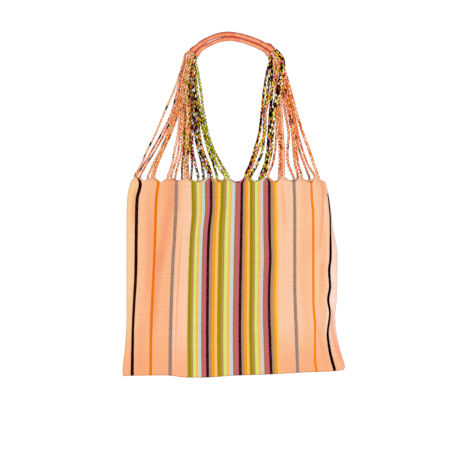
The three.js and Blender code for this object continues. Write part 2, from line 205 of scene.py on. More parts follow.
def smooth_line(points, step):
    """Points about every `step` along the smooth curve through `points`, and how far along it
    each of them is."""
    inner = np.array(points, float)
    ends = 2 * inner[[0, -1]] - inner[[1, -2]]
    knots = np.vstack([ends[:1], inner, ends[1:]])
    root = np.linalg.norm(np.diff(knots, axis=0), axis=1) ** 0.5
    share = np.linspace(0, 1, DENSE, endpoint=False)[:, None]
    stretches = []
    for i in range(1, len(knots) - 2):
        before, start, end, after = knots[i - 1 : i + 3]
        a, b, c = root[i - 1 : i + 2]
        leaving = ((start - before) / a - (end - before) / (a + b)) * b + end - start
        arriving = ((after - end) / c - (after - start) / (b + c)) * b + end - start
        stretches.append(
            start * (1 + 2 * share) * (1 - share) ** 2
            + leaving * share * (1 - share) ** 2
            + end * (3 - 2 * share) * share**2
            - arriving * (1 - share) * share**2
        )
    dense = np.vstack([*stretches, inner[-1:]])
    run = np.concatenate([[0], np.cumsum(np.linalg.norm(np.diff(dense, axis=0), axis=1))])
    count = int(round(run[-1] / step)) + 1
    even = np.linspace(0, run[-1], count)
    return np.stack([np.interp(even, run, dense[:, k]) for k in range(3)], axis=1), even


def add_grid(target, columns, rows, place, turned=False, **layouts):
    """Adds a grid to a bmesh. place(column, row) gives its points in millimetres and each of the
    layouts gives two numbers a point for a UV map of its name, all of them for arrays."""
    part = bmesh.new()
    bmesh.ops.create_grid(part, x_segments=columns, y_segments=rows, size=0.5)
    if turned:
        bmesh.ops.reverse_faces(part, faces=part.faces)
    mesh = bpy.data.meshes.new("grid")
    part.to_mesh(mesh)
    part.free()
    spots = np.zeros(len(mesh.vertices) * 3)
    mesh.vertices.foreach_get("co", spots)
    spots = spots.reshape(-1, 3)
    column = np.rint((spots[:, 0] + 0.5) * columns).astype(int)
    row = np.rint((spots[:, 1] + 0.5) * rows).astype(int)
    mesh.vertices.foreach_set("co", (place(column, row) * MM).ravel())
    corners = np.zeros(len(mesh.loops), int)
    mesh.loops.foreach_get("vertex_index", corners)
    for name, layout in layouts.items():
        layer = mesh.uv_layers.new(name=name)
        layer.data.foreach_set("uv", layout(column, row)[corners].ravel())
    target.from_mesh(mesh)
    bpy.data.meshes.remove(mesh)


def close_ends(shape):
    """Welds a rolled grid's seam and fills the holes at its ends."""
    bmesh.ops.remove_doubles(shape, verts=shape.verts, dist=1e-7)
    edges = [edge for edge in shape.edges if edge.is_boundary]
    bmesh.ops.holes_fill(shape, edges=edges, sides=0)


def placed(name, shape, material):
    mesh = bpy.data.meshes.new(name)
    shape.to_mesh(mesh)
    shape.free()
    mesh.shade_smooth()
    mesh.materials.append(material)
    return linked(name, mesh)


def finished(name, shape, material, node):
    """A piece that stands for a node of the CAD part."""
    piece = placed(name, shape, material)
    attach(piece, "root")
    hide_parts(node)
    return piece


# ---- shader helpers ------------------------------------------------------------------------------
def colour(red, green, blue):
    """A colour given in 0 to 255, as the shader wants it."""
    share = np.array([red, green, blue]) / 255
    linear = np.where(share <= 0.04045, share / 12.92, ((share + 0.055) / 1.055) ** 2.4)
    return (*linear, 1.0)


class Value:
    """What a shader works out. Python's own signs make sums and comparisons of it."""

    def __init__(self, socket):
        self.socket, self.tree = socket, socket.id_data

    def maths(self, operation, *others):
        return first_result(self.tree, "ShaderNodeMath", self, *others, operation=operation)

    def __rsub__(self, number):
        return self * -1 + number

    __add__ = partialmethod(maths, "ADD")
    __sub__ = partialmethod(maths, "SUBTRACT")
    __mul__ = partialmethod(maths, "MULTIPLY")
    __truediv__ = partialmethod(maths, "DIVIDE")
    __pow__ = partialmethod(maths, "POWER")
    __gt__ = partialmethod(maths, "GREATER_THAN")
    __lt__ = partialmethod(maths, "LESS_THAN")
    __abs__ = partialmethod(maths, "ABSOLUTE")


def put(socket, value):
    if isinstance(value, Value):
        value.tree.links.new(value.socket, socket)
    else:
        socket.default_value = value


def add_node(tree, kind, *values, **settings):
    node = tree.nodes.new(kind)
    for name, setting in settings.items():
        setattr(node, name, setting)
    for socket, value in zip(node.inputs, values):
        put(socket, value)
    return node


def first_result(tree, kind, *values, **settings):
    """What a new node gives first."""
    return Value(add_node(tree, kind, *values, **settings).outputs[0])


def parts(vector):
    node = add_node(vector.tree, "ShaderNodeSeparateXYZ", vector)
    return [Value(output) for output in node.outputs]


def blend(how, factor, low, high):
    tree = next(value.tree for value in (factor, low, high) if isinstance(value, Value))
    node = add_node(tree, "ShaderNodeMix", data_type="RGBA", blend_type=how)
    for socket, value in zip((node.inputs[0], node.inputs[6], node.inputs[7]), (factor, low, high)):
        put(socket, value)
    return Value(node.outputs[2])


def remap(value, low, high, start=0, end=1, how="LINEAR"):
    """Low where the value is at the start or before it, high where it is at the end or past it."""
    sizes = (start, end, low, high)
    return first_result(value.tree, "ShaderNodeMapRange", value, *sizes, interpolation_type=how)


def fade(value, low, high, places):
    """Low up to the first of two places in millimetres and high from the second one on."""
    return remap(value, low, high, *(place * MM for place in places))


def ramp(place, stops, how="CONSTANT"):
    node = add_node(place.tree, "ShaderNodeValToRGB", place)
    node.color_ramp.interpolation = how
    elements = node.color_ramp.elements
    elements.remove(elements[1])
    elements[0].position, elements[0].color = stops[0]
    for position, shade in stops[1:]:
        elements.new(position).color = shade
    return Value(node.outputs[0])


def any_number(seed):
    """A number from 0 to 1 that is another one for each seed."""
    node = add_node(seed.tree, "ShaderNodeTexWhiteNoise", noise_dimensions="1D")
    put(node.inputs["W"], seed)
    return Value(node.outputs["Value"])


def stretched_noise(vector, across, along, detail=2):
    """Noise with its own scale across and along the threads."""
    scales = (across, along, 1)
    scaled = first_result(vector.tree, "ShaderNodeVectorMath", vector, scales, operation="MULTIPLY")
    node = add_node(vector.tree, "ShaderNodeTexNoise", scaled)
    node.inputs["Scale"].default_value = 1
    node.inputs["Detail"].default_value = detail
    return Value(node.outputs[0])


def new_group(name, numbers, results):
    """A shader node group that works out its results from a place on the flat piece and some
    numbers, all of them named: its tree, what it is given and the sockets of its results."""
    tree = bpy.data.node_groups.new(name, "ShaderNodeTree")
    new_socket = tree.interface.new_socket
    new_socket(name="Flat Place", in_out="INPUT", socket_type="NodeSocketVector")
    for way, labels in (("INPUT", numbers), ("OUTPUT", results)):
        for label in labels:
            new_socket(name=label, in_out=way, socket_type="NodeSocketFloat")
    taken = tree.nodes.new("NodeGroupInput").outputs
    given = tree.nodes.new("NodeGroupOutput").inputs
    return tree, [Value(taken[label]) for label in ("Flat Place", *numbers)], given


def use_group(group, flat, *numbers):
    node = add_node(flat.tree, "ShaderNodeGroup", node_tree=group)
    for socket, value in zip(node.inputs, (flat, *numbers)):
        put(socket, value)
    return [Value(output) for output in node.outputs]


def new_material(name, roughness):
    """A material with no shine, its tree and its Principled BSDF."""
    made = bpy.data.materials.new(name)
    made.use_nodes = True
    tree = made.node_tree
    shader = tree.nodes["Principled BSDF"]
    shader.inputs["Roughness"].default_value = roughness
    shader.inputs["Specular IOR Level"].default_value = 0
    return made, tree, shader


def own_layout(tree, name):
    """The piece's UV map of this name."""
    return first_result(tree, "ShaderNodeUVMap", uv_map=name)


def relief(shader, height, distance, strength=1.0):
    node = add_node(height.tree, "ShaderNodeBump")
    node.inputs["Strength"].default_value = strength
    node.inputs["Distance"].default_value = distance
    put(node.inputs["Height"], height)
    put(shader.inputs["Normal"], Value(node.outputs[0]))


# ---- shared shader groups ------------------------------------------------------------------------
def warp_faced_weave():
    """Close warp threads over hidden wefts, on a flat layout in metres."""
    tree, (flat, warps, picks), given = new_group(
        "warp_faced_weave", ["Warps per Metre", "Picks per Metre"], ["Height", "Thread Shade"]
    )
    across, along, _ = parts(flat)
    warp = across * warps
    thread = warp.maths("FLOOR")
    middle = warp.maths("FRACT") - 0.5
    rib = 1 - middle * middle * 4
    turn = (along * picks + thread.maths("PINGPONG", 1) * 0.5) * (2 * math.pi)
    put(given[0], rib * (turn.maths("COSINE") * 0.3 + 0.7))
    put(given[1], any_number(thread))
    return tree


def plied_strand():
    """Strands of plied yarn, braided. The flat layout has the number of crossings along a strand,
    with STRAND_STEP added for each strand, and the share of a turn round it."""
    tree, (flat, strands, yarns, turns, dash_share), given = new_group(
        "plied_strand",
        ["Strands", "Yarns", "Turns per Crossing", "Dash Share"],
        ["Strand Colour", "Height", "Fibre Tone and Groove Shade", "Hollow", "Dash"],
    )
    along, share_round, _ = parts(flat)
    crossing = along.maths("FLOOR")
    strand = (along / STRAND_STEP).maths("FLOOR")
    second = (any_number(crossing) > 0.5) * 0.5
    strand_colour = (strand + second + 0.25) / strands
    turned = along.maths("MULTIPLY_ADD", turns, share_round)
    yarn = abs((turned * yarns * math.pi).maths("SINE"))
    fibres = stretched_noise(flat, 9, 26)
    # painted shade in the grooves between the yarns, times a random tone of the fibres
    fibre_tone_and_groove_shade = (yarn**0.6 * 0.22 + 0.84) * remap(fibres, 0.84, 1.16)
    # painted shade where a strand dips under the next one and on its flanks
    dipping = abs(along.maths("FRACT") - TOP_PLACE)
    flank = abs((share_round * (2 * math.pi)).maths("COSINE"))
    hollow = remap((dipping * DIP_STEEPNESS).maths("MAXIMUM", flank), 0, 1, start=HOLLOW_START)
    along_cord = along - strand * (STRAND_STEP + 2 / STRANDS)
    stretch = (along_cord * DASHES_PER_CROSSING).maths("FLOOR")
    spot = first_result(tree, "ShaderNodeCombineXYZ", stretch, crossing.maths("PINGPONG", 1), 0.0)
    drawn = first_result(tree, "ShaderNodeTexWhiteNoise", spot, noise_dimensions="2D")
    dash = drawn < dash_share
    for socket, value in zip(given, (strand_colour, fibres * 0.35 + yarn, fibre_tone_and_groove_shade, hollow, dash)):
        put(socket, value)
    return tree


def soft_crease():
    """How much a point on the flat cloth is in a long soft crease between two points."""
    tree, (flat, low_x, low_y, high_x, high_y, half_width, strength), given = new_group(
        "soft_crease", ["Low X", "Low Y", "High X", "High Y", "Half Width", "Strength"], ["Share"]
    )
    x, y, _ = parts(flat)
    share = (y - low_y) / (high_y - low_y)
    away = abs(x - mix(low_x, high_x, share))
    across = remap(away / half_width, 1, 0, how="SMOOTHSTEP")
    along = remap(abs(share - 0.5), 1, 0, 0.2, 0.5, "SMOOTHSTEP")
    put(given[0], across * along * strength)
    return tree


STRANDS = 3
STRAND_STEP = 100  # more than the crossings that a cord has
DASHES_PER_CROSSING = 1.05
TOP_PLACE = 0.25  # the share of the way between two crossings at which a strand is on top
# How steeply, and from where, the painted shade of the hollows and flanks comes in.
DIP_STEEPNESS = 3.4
HOLLOW_START = 0.72
WEAVE = warp_faced_weave()
STRAND = plied_strand()
CREASE = soft_crease()

# ---- the cords -----------------------------------------------------------------------------------
PEACH = colour(255, 202, 150)
LIGHT_PEACH = colour(255, 222, 180)
ROSE = colour(252, 160, 106)
CORAL_YARN = colour(244, 144, 94)
RUST = colour(218, 96, 40)
BROWN = colour(104, 34, 14)
BLACK = colour(20, 4, 4)
GREY = colour(142, 126, 116)
ORANGE = colour(255, 146, 14)
GOLD = colour(255, 206, 84)
OLIVE = colour(174, 158, 4)
DARK_OLIVE = colour(88, 78, 4)
LIME = colour(216, 232, 92)
BLUE = colour(196, 226, 238)
CREAM = colour(255, 248, 230)
PINK = colour(232, 112, 146)
MAROON = colour(76, 6, 24)
TAN = colour(216, 154, 116)

# Painted shade: what the hollows between the strands, and the strands' flanks, turn a colour to.
WARM_HOLLOW_SHADE = colour(234, 142, 96)
DARK_HOLLOW_SHADE = colour(136, 80, 54)
# The two colours of each of a braid's three strands, one of which is drawn at each crossing, and
# the colour of the dashes on a braid's sides and the share of places that have one.
WARM_BRAIDS = {
    "peach and black": ([PEACH, LIGHT_PEACH, PEACH, ROSE, LIGHT_PEACH, PEACH], BLACK, 0.25),
    "rose and black": ([ROSE, PEACH, RUST, ROSE, PEACH, ROSE], BLACK, 0.25),
    "peach and grey": ([PEACH, LIGHT_PEACH, ROSE, PEACH, LIGHT_PEACH, PEACH], GREY, 0.12),
    "peach and orange": ([ORANGE, PEACH, PEACH, LIGHT_PEACH, PEACH, ROSE], ORANGE, 0.15),
    "peach, orange and brown": ([PEACH, ROSE, ROSE, PEACH, PEACH, ORANGE], BROWN, 0.1),
    "peach": ([PEACH, ROSE, LIGHT_PEACH, PEACH, ROSE, PEACH], RUST, 0.1),
    "peach and olive": ([PEACH, OLIVE, LIGHT_PEACH, PEACH, ROSE, PEACH], OLIVE, 0.2),
    "peach and rust": ([PEACH, ROSE, RUST, LIGHT_PEACH, ORANGE, PEACH], BROWN, 0.1),
    "rust and brown": ([ROSE, PEACH, CORAL_YARN, PEACH, ROSE, CORAL_YARN], BROWN, 0.1),
    "rust": ([CORAL_YARN, PEACH, ROSE, PEACH, ROSE, CORAL_YARN], BROWN, 0.09),
    "pale peach": ([LIGHT_PEACH, PEACH, LIGHT_PEACH, PEACH, PEACH, PEACH], ROSE, 0.1),
    "rust and orange": ([ROSE, PEACH, CORAL_YARN, LIGHT_PEACH, ORANGE, ROSE], RUST, 0.12),
    "orange and peach": ([ORANGE, PEACH, LIGHT_PEACH, ORANGE, LIGHT_PEACH, ROSE], RUST, 0.12),
}
DARK_BRAIDS = {
    "dark olive": ([ROSE, DARK_OLIVE, RUST, OLIVE, BROWN, OLIVE], BLACK, 0.15),
    "peach and brown": ([PEACH, BROWN, ROSE, OLIVE, PEACH, ROSE], BROWN, 0.15),
    "maroon and pink": ([MAROON, TAN, PINK, GREY, TAN, CREAM], MAROON, 0.15),
    "maroon and blue": ([MAROON, ORANGE, BLUE, GREY, OLIVE, TAN], BLACK, 0.14),
    "maroon and orange": ([BLACK, ORANGE, OLIVE, CREAM, TAN, MAROON], ORANGE, 0.12),
    "green and brown": ([OLIVE, DARK_OLIVE, LIME, OLIVE, LIME, BROWN], BLACK, 0.1),
    "green and blue": ([OLIVE, LIME, DARK_OLIVE, LIME, OLIVE, CREAM], OLIVE, 0.2),
    "green and gold": ([OLIVE, LIME, OLIVE, GOLD, LIME, OLIVE], BLUE, 0.12),
    "gold and maroon": ([ORANGE, GOLD, BLACK, MAROON, GOLD, BLACK], BLACK, 0.15),
    "gold and pink": ([GOLD, ORANGE, LIME, GOLD, PINK, ORANGE], PINK, 0.1),
    "black and gold": ([BLACK, GOLD, CREAM, OLIVE, BLACK, OLIVE], BLACK, 0.2),
    "black and lime": ([BLACK, LIME, BLACK, PINK, TAN, OLIVE], BLACK, 0.2),
    "black and pink": ([BLACK, PINK, CREAM, OLIVE, TAN, MAROON], BLACK, 0.2),
    "black and orange": ([BLACK, LIME, GOLD, ORANGE, BROWN, CREAM], GOLD, 0.12),
}
YARNS = 5  # in a strand
YARN_TURNS = 0.35  # of a yarn round its strand, from one crossing to the next
# These braids are almost plain yarn where they curl round a handle's end: the Y where that starts
# and the Y where it is complete.
LOOPED = ("peach and black", "rose and black")
LOOP_RISE = (254, 268)
LOOP_SHARE = 0.85
LOOP_YARN = colour(253, 178, 108)


def braid_material(name, yarns, dash, dashes, hollow_shade_tint):
    made, tree, shader = new_material("braid, " + name, roughness=0.9)
    place, height, groove_shade_and_fibre_tone, hollow, dashed = use_group(
        STRAND, own_layout(tree, "flat"), STRANDS, YARNS, YARN_TURNS, dashes
    )
    stops = [(i / len(yarns), shade) for i, shade in enumerate(yarns)]
    dyed = blend("MIX", dashed, ramp(place, stops), dash)
    if name in LOOPED:
        rise = parts(Value(add_node(tree, "ShaderNodeTexCoord").outputs["Object"]))[1]
        plain = fade(rise, 0, LOOP_SHARE, LOOP_RISE)
        dyed = blend("MIX", plain, dyed, LOOP_YARN)
    # painted shade in the yarn grooves, with the fibres' own random tone
    dyed = blend("MULTIPLY", 1.0, dyed, groove_shade_and_fibre_tone)
    # painted shade in the hollows between the strands and on their flanks
    put(shader.inputs["Base Color"], blend("MULTIPLY", hollow, dyed, hollow_shade_tint))
    relief(shader, height, 0.0003)
    return made


def layer_height(layer):
    return CORD_DIAMETER / 2 + FLOOR_CLEARANCE + layer * ROW_PITCH


# The pouch's outline where it bends: X of its sides at each Y, and Y of the fold at the bottom at
# each X.
LEFT_SIDE = [
    (-326, -211), (-318, -212), (-300, -211), (-270, -207.5), (-215, -204.5), (-20, -204.5),
    (10, -203.5), (30, -200.5), (48, -195),
]
RIGHT_SIDE = [
    (-316, 208), (-308, 211.5), (-290, 206.5), (-260, 198.5), (-235, 194.5), (-210, 193),
    (-180, 196), (-95, 197.5), (-70, 194.5), (-40, 188), (-15, 186), (10, 182), (30, 178),
    (48, 173.5),
]
BOTTOM = [
    (-212, -326), (-185, -325), (-130, -324.5), (-88, -328.5), (-60, -328.5), (0, -325),
    (70, -322.5), (130, -319), (195, -316), (212, -313),
]
# Soft folds in the front layer: X and Y of both ends of a line, its half width and its height.
FOLDS = [
    (-150, -240, -150, -30, 26, -2.2),
    (-96, -300, -96, -120, 22, 0.8),
    (172, -270, 172, -120, 12, -1.6),
    (60, -200, 60, 10, 24, -0.9),
]


def front_height(x, y, folds=FOLDS):
    """Height of the front layer's upper face."""
    low, high = along_table(LEFT_SIDE, y), along_table(RIGHT_SIDE, y)
    fold = along_table(BOTTOM, x)
    side = np.clip(np.abs(2 * (x - low) / (high - low) - 1), 0, 1)
    rise = np.clip((y - fold) / (RIM_LEVEL - fold), 0, 1)
    across = 1 - side**SIDE_POWER
    along = (1 - (1 - rise) ** FOLD_POWER) * mix(1, RIM_SCALE, rise**RIM_POWER)
    height = SEAM_HEIGHT + (PUFF - SEAM_HEIGHT) * across * along
    for x_low, y_low, x_high, y_high, half, depth in folds:
        share = (y - y_low) / (y_high - y_low)
        sideways = ease(1 - np.abs(x - mix(x_low, x_high, share)) / half)
        lengthways = ease(2 * (1 - np.abs(2 * share - 1)))
        height = height + depth * sideways * lengthways * across
    return height


def handle_line(name, step):
    diameter, _, route = HANDLES[name]
    rest = diameter / 2 * math.cos(math.pi / HANDLE_SIDES)
    return smooth_line([(x, y, rest) for x, y in route], step)


def seat_point(end, column, row, distance):
    """The cord's place in front of a handle's end."""
    name, side = end.split()
    line = handle_line(name, 1.0)[0]
    tip, before = (line[-1], line[-2]) if side == "right" else (line[0], line[1])
    out = (tip - before) / np.linalg.norm(tip - before)
    across = np.array([-out[1], out[0], 0]) * (column - 1) * ROW_PITCH
    seat = tip + out * distance + across
    return (seat[0], seat[1], layer_height(row))


def cord_route(name, foot, across, layer, end, column, row):
    tips = FRONT_TIPS if name.startswith("front") else BACK_TIPS
    tip_y = next(y for x, half, y in tips if abs(foot - x) <= half)
    height = layer_height(0)
    if name.startswith("front"):
        height = float(front_height(np.array(foot), np.array(tip_y))) - CLOTH / 2
    points = [(foot, tip_y + GAP, height), (foot, tip_y + GAP + STRAIGHT_START, height)]
    for x, y, settled, stacked in zip(across, STATIONS, SETTLED, STACKED):
        low = mix(height, layer_height(layer), settled)
        points.append((x, y, mix(low, layer_height(row), stacked)))
    points += [(x, y, layer_height(row)) for x, y in ROUND_THE_END.get(name, [])]
    points.append(seat_point(end, column, row, STRAIGHT_END + GAP))
    points.append(seat_point(end, column, row, GAP))
    return points


BRAID_WIDTH = 4.8
BRAID_PERIOD = 19  # length in which a strand swings to both sides and back
BRAID_STEP = 1.12
BRAID_SIDES = 8
FULL_BRAID = (1.05, 0.75, 1.25, 0.72)  # sideways swing, lift, half width and half height of a strand
TIGHT_BRAID = (0.95, 0.74, 1.15, 0.74)  # the same where the cords are bundled
BUNDLE_START = 60  # a cord starts to draw in this far before its end
DRAWING_IN = 40  # and has its tight size after this much more
LEAN_WAVES = (31, 57, 83)  # a braid leans a little one way and the other, over these lengths
LEAN_START = 25  # and has its full lean this far from its foot
WIDE_BRAIDS = {  # how wide these are for a braid
    "front_01": 0.9, "front_02": 0.85, "back_01": 0.85,
    "front_07": 1.2, "front_08": 1.15, "back_06": 1.2, "back_07": 1.3, "front_09": 1.25,
    "front_10": 1.25, "back_08": 1.15, "front_11": 1.2, "front_12": 1.15,
    "front_13": 1.2, "front_14": 1.3, "back_09": 1.25, "back_10": 1.35, "back_11": 1.3,
    "front_15": 1.3, "front_17": 1.15, "front_18": 1.2, "back_13": 1.15, "front_19": 1.2,
    "front_20": 1.1, "front_22": 1.3,
}


def sideways_and_up(line):
    along = np.gradient(line, axis=0)
    along /= np.linalg.norm(along, axis=1)[:, None]
    side = np.cross(along, (0, 0, 1))
    side /= np.linalg.norm(side, axis=1)[:, None]
    return side, np.cross(side, along)


def braid(name, route, material):
    """A flat braid of three strands along a route: the piece, the line that it follows, its length
    and its width."""
    chance = random.Random(name)
    line, run = smooth_line(route, BRAID_STEP)
    side, up = sideways_and_up(line)
    lean = sum(
        chance.uniform(0.10, 0.22) * np.sin(2 * math.pi * run / length + chance.uniform(0, 6.3))
        for length in LEAN_WAVES
    )
    lean = (lean * ease(run / LEAN_START))[:, None]
    side, up = side * np.cos(lean) + up * np.sin(lean), up * np.cos(lean) - side * np.sin(lean)
    tight = ease((run - run[-1] + BUNDLE_START) / DRAWING_IN)
    wide = WIDE_BRAIDS.get(name, 1)
    swing, lift, half_width, half_height = (
        mix(full, bundled, tight) for full, bundled in zip(FULL_BRAID, TIGHT_BRAID)
    )
    start = chance.uniform(0, 1)
    first = chance.randrange(STRAND_STEP // 2)
    shape = bmesh.new()
    for strand in range(STRANDS):
        turn = 2 * math.pi * (run / (BRAID_PERIOD * wide**0.7) + strand / STRANDS + start)
        x, z = swing * wide * np.sin(turn), lift * np.sin(2 * turn)
        middle = line + side * x[:, None] + up * z[:, None]

        def place(column, row):
            angle = 2 * math.pi * (column % BRAID_SIDES) / BRAID_SIDES
            out = half_width[row] * wide * np.cos(angle)
            high = half_height[row] * np.sin(angle)
            spot = middle[row] + side[row] * out[:, None] + up[row] * high[:, None]
            spot[:, 2] = np.maximum(spot[:, 2], 0)
            return spot

        def flat(column, row):
            crossings = first + strand * STRAND_STEP + turn[row] / math.pi
            return np.stack([crossings, column / BRAID_SIDES], axis=1)

        add_grid(shape, BRAID_SIDES, len(line) - 1, place, flat=flat)
    close_ends(shape)
    piece = finished("braid_" + name, shape, material, "cord_" + name)
    return piece, line, run[-1], BRAID_WIDTH * wide


braid_finishes = {
    name: braid_material(name, *dyes, hollow_shade_tint)
    for ways, hollow_shade_tint in ((WARM_BRAIDS, WARM_HOLLOW_SHADE), (DARK_BRAIDS, DARK_HOLLOW_SHADE))
    for name, dyes in ways.items()
}
for name, foot, across, layer, end, column, row, colours in CORDS:
    points = cord_route(name, foot, across, layer, end, column, row)
    piece, line, length, width = braid(name, points, braid_finishes[colours])


# ---- the wrapped handles -------------------------------------------------------------------------
WRAP_PITCH = 1.3
WRAP_STEP = 0.26
WRAP_DEPTH = 0.28
HANDLE_ROUND = 24
END_ROUNDING = 3.2
END_FLATNESS = 0.86  # share of the rounding that comes before a handle's flat end
LUMP_WAVES = (47, 23, 11, 6)  # a handle's thickness varies over these lengths
SNUG = 1.05  # how much fuller than its solid a handle is, so that the two touch
# Uneven stretches of a handle: share of its length, half length, and how much its radius grows.
UNEVEN = {
    "outer": [(0.26, 17, -0.07), (0.93, 8, 0.14), (0.6, 10, 0.03)],
    "inner": [(0.24, 17, -0.07), (0.05, 6, 0.05), (0.7, 12, 0.03)],
}
NESTLED = {"outer": 0, "inner": 0.6}  # how far a handle is pushed towards the other
KNOT_PLACE, KNOT_LENGTH, KNOT_HEIGHT = 0.92, 9, 2  # the lump outside the outer handle's right end
CORAL = colour(254, 155, 113)
PALE_CORAL = colour(255, 196, 158)
DEEP_CORAL = colour(236, 110, 70)
# Painted shade on the side of each handle that is turned from the light, and in the crease between the two
# handles.
HANDLE_SHADE_TINT = colour(196, 74, 40)
LOWER_SHADE = {"outer": 0.7, "inner": 0.1}  # how much of it a handle has on the side of the pouch
OUTER_SHADE_REACH = (0.08, 0.27)  # shares of a turn from a handle's outside
LOWER_SHADE_REACH = (0.3, 0.45)


def coral_yarn(name):
    made, tree, shader = new_material("wrapped coral yarn, " + name, roughness=0.85)
    flat = own_layout(tree, "flat")
    share_round, along, _ = parts(flat)
    wound = along / (WRAP_PITCH * MM) - share_round
    turn = any_number(wound.maths("FLOOR"))
    tone = turn * 0.25 + stretched_noise(flat, 1.5, 60) * 0.75
    dyed = ramp(tone, [(0.2, DEEP_CORAL), (0.45, CORAL), (0.75, PALE_CORAL)], "LINEAR")
    # painted shade in the grooves between the turns of the wrap
    groove = abs((wound * math.pi).maths("SINE"))
    dyed = blend("MULTIPLY", 1.0, dyed, groove**0.5 * 0.18 + 0.82)
    # Painted shade on each handle's outside, away from the light, and on its side towards the pouch, which
    # for the outer handle is the crease against the inner one.
    from_outside = abs(share_round - 0.5)
    outside = remap(from_outside, 1, 0, *OUTER_SHADE_REACH)
    inside = remap(from_outside, 0, LOWER_SHADE[name], *LOWER_SHADE_REACH)
    painted_shade = outside.maths("MAXIMUM", inside)
    put(shader.inputs["Base Color"], blend("MULTIPLY", painted_shade, dyed, HANDLE_SHADE_TINT))
    relief(shader, stretched_noise(flat, 40, 2400), 0.0002)
    return made


def wrapped_handle(name, material):
    """A bundle of cord ends under one closely wound yarn."""
    chance = random.Random(name)
    line, run = handle_line(name, WRAP_STEP)
    side, up = sideways_and_up(line)
    length = run[-1]
    from_end = np.minimum(run, length - run)
    diameter, end_swell, _ = HANDLES[name]
    middle_radius = SNUG * diameter / 2 - WRAP_DEPTH / 2
    swell = mix(end_swell, 1, ease(from_end / SWELL_LENGTH))
    for at, half, growth in UNEVEN[name]:
        swell = swell * (1 + growth * ease(1 - np.abs(run - at * length) / half))
    knot = KNOT_HEIGHT * ease(1 - np.abs(run - KNOT_PLACE * length) / KNOT_LENGTH)
    knot = knot * (name == "outer")
    lumps = sum(
        chance.uniform(0.01, 0.03) * np.sin(2 * math.pi * run / wave + chance.uniform(0, 6.3))
        for wave in LUMP_WAVES
    )
    rounding = np.sqrt(1 - np.clip(1 - from_end / END_ROUNDING, 0, END_FLATNESS) ** 2)
    radius = middle_radius * swell * (1 + lumps) * rounding
    centre = line - side * NESTLED[name]
    centre[:, 2] = middle_radius * swell * (1 + np.abs(lumps)) + WRAP_DEPTH

    def place(column, row):
        share = (column % HANDLE_ROUND) / HANDLE_ROUND
        ridge = np.abs(np.sin(math.pi * (run[row] / WRAP_PITCH - share)))
        angle = 2 * math.pi * share
        out = radius[row] + WRAP_DEPTH * (ridge**0.7 - 0.5)
        out = out + knot[row] * np.clip(-np.cos(angle), 0, 1) ** 2
        return (
            centre[row]
            + side[row] * (out * np.cos(angle))[:, None]
            + up[row] * (out * np.sin(angle))[:, None]
        )

    def flat(column, row):
        return np.stack([column / HANDLE_ROUND, run[row] * MM], axis=1)

    shape = bmesh.new()
    add_grid(shape, HANDLE_ROUND, len(line) - 1, place, flat=flat)
    close_ends(shape)
    return finished("wrapped_handle_" + name, shape, material, "handle_" + name)


for name in HANDLES:
    wrapped_handle(name, coral_yarn(name))

# ---- the pouch -----------------------------------------------------------------------------------
# Y of the last weft at each dip of the mouth, with a dip between each two tips.
FRONT_DIPS = [
    (-171, 47), (-138.5, 43.5), (-105.5, 46), (-67, 43), (-26.5, 42.5), (8, 41.5), (43, 44),
    (79.5, 43), (112.5, 44), (147.5, 42),
]
BACK_DIPS = [
    (-171.5, 45), (-137, 41), (-89, 42), (-75.5, 41), (-45, 42), (0, 45), (38, 46),
    (70, 42.5), (99, 45), (128, 43),
]
SIDE_RIM = {"left": 48, "right": 46}  # the same at the two seams

# How the cloth lies: where each of these warps is on the flat cloth, and its X at each Y where it
# bends.
WARPS = [
    (-187, [(-325, -193.5), (-240, -192.5), (-180, -189.5), (-130, -186.5), (-20, -185),
            (10, -184), (40, -177.5), (48, -180)]),
    (-152, [(-325, -158.5), (-250, -157.5), (-160, -154), (-85, -150.5), (10, -147.5),
            (42, -143.5)]),
    (-117, [(-325, -121.5), (-250, -120.5), (-105, -115.5), (-60, -112.5), (10, -109.5),
            (42, -109)]),
    (-83, [(-325, -84.5), (-250, -85), (-150, -83.5), (-60, -80.5), (-15, -77), (42, -78)]),
    (-47, [(-325, -50), (-250, -50.5), (-110, -49.5), (-50, -47.5), (0, -43), (42, -43.5)]),
    (-26.5, [(-325, -28), (-250, -28.5), (-100, -26.5), (-40, -25), (0, -22.5), (42, -21.5)]),
    (9.5, [(-325, 12.5), (-240, 11.5), (-180, 12), (-60, 14), (42, 15.5)]),
    (30, [(-325, 33.5), (-275, 32.5), (-230, 31.5), (-150, 32.5), (42, 33)]),
    (66, [(-325, 71), (-260, 68.5), (-190, 66.5), (-145, 67), (-100, 69), (-50, 67.5), (42, 67)]),
    (115.5, [(-320, 121.5), (-240, 118.5), (-190, 116.5), (-150, 115.5), (0, 115.5), (42, 114)]),
    (151, [(-320, 158), (-292, 154), (-237, 154.5), (-180, 151), (-15, 150.5), (5, 148.5),
           (42, 147)]),
    (182, [(-315, 192), (-295, 186), (-270, 180.5), (-245, 178), (-205, 183), (-180, 179),
           (-155, 183), (-125, 181), (-100, 184), (-30, 184.5), (0, 182.5), (15, 181), (30, 178),
           (48, 172.5)]),
]
FLAT_SIDES = (-204.5, 197.0)
POUCH_DEPTH = 325
FAR = 99.0  # a distance too long to matter
CLOTH_LOOK = 1.2  # thickness of the cloth at its free edges
SEAM_ROUND = 4.5
RIPPLE_HEIGHT = 0.22
RIPPLE_START = 12  # ripples have their full height this far from the seams and the fold
COLUMN = 2.35
ROW = 3.4
SEAM_STEPS = (0, 0.15, 0.5, 1.0, 1.7, 2.7, 4)  # columns this far from a seam
FOLD_LEVELS = (0, 0.0006, 0.002, 0.0045, 0.008, 0.0145)  # rows at these shares of the depth
